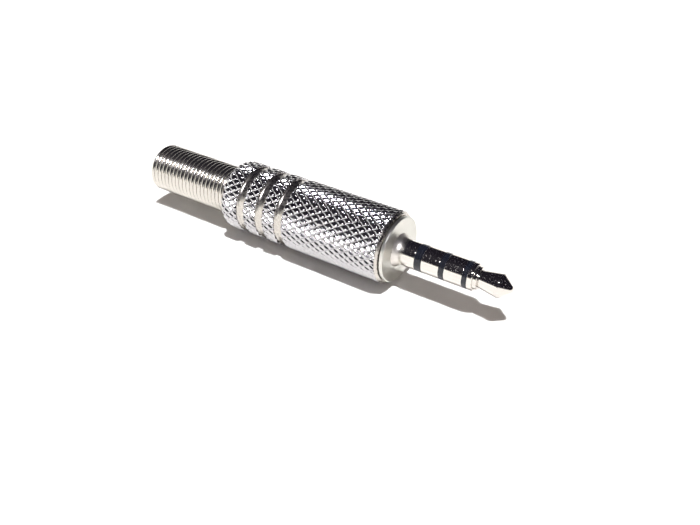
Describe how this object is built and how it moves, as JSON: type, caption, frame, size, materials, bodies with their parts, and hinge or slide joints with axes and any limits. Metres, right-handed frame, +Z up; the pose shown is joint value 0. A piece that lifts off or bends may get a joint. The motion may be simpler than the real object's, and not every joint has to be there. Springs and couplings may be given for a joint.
{
  "type": "audio jack plug",
  "caption": "Slim audio jack plug with a banded bright pin, a screw-on diamond-knurled metal barrel and a coil spring that guards the cable where it leaves.",
  "frame": {"origin": "centre of the collar's front face, on the plug's axis, where the plug seats against a socket", "axes": "+X along the plug's axis towards the nose of the pin, +Z up with the plug lying on its barrel, +Y across"},
  "size_m": [0.0559, 0.0096, 0.0096],
  "materials": {
    "knurled_nickel": "bright nickel plate over a diamond knurl",
    "spring_nickel": "bright nickel-plated spring wire",
    "satin_nickel": "nickel plate over a fine turned face",
    "pin_nickel": "mirror-polished nickel plate",
    "pin_insulator": "smooth moulded plastic, dark blue-grey",
    "liner_plastic": "milky extruded plastic tube",
    "wafer_board": "stamped brown insulating board",
    "tinned_brass": "tin-plated stamped strip"
  },
  "bodies": {
    "plug_core": {"sleeve_contact": "pin_nickel", "sleeve_insulator": "pin_insulator", "ring_two_contact": "pin_nickel", "middle_insulator": "pin_insulator", "ring_one_contact": "pin_nickel", "tip_insulator": "pin_insulator", "tip_contact": "pin_nickel", "collar": "satin_nickel", "ground_lug": "tinned_brass", "sleeve_wafer": "wafer_board", "ring_two_lug": "tinned_brass", "ring_two_wafer": "wafer_board", "ring_one_lug": "tinned_brass", "ring_one_wafer": "wafer_board", "tip_lug": "tinned_brass"},
    "tail": {"cable_spring": "spring_nickel", "liner_tube": "liner_plastic"},
    "barrel": {"barrel": "knurled_nickel"}
  },
  "joints": [
    {"name": "tail_travel", "type": "slide", "parent": "plug_core", "child": "tail", "axis": [-1, 0, 0], "range_m": [0, 0.003]},
    {"name": "barrel_turn", "type": "hinge", "parent": "tail", "child": "barrel", "pos_m": [-0.013, 0, 0], "axis": [-1, 0, 0], "range_deg": [0, 2160]}
  ],
  "couplings": [
    {"joint": "barrel_turn", "follows": "tail_travel", "rad_per_m": 12566}
  ]
}
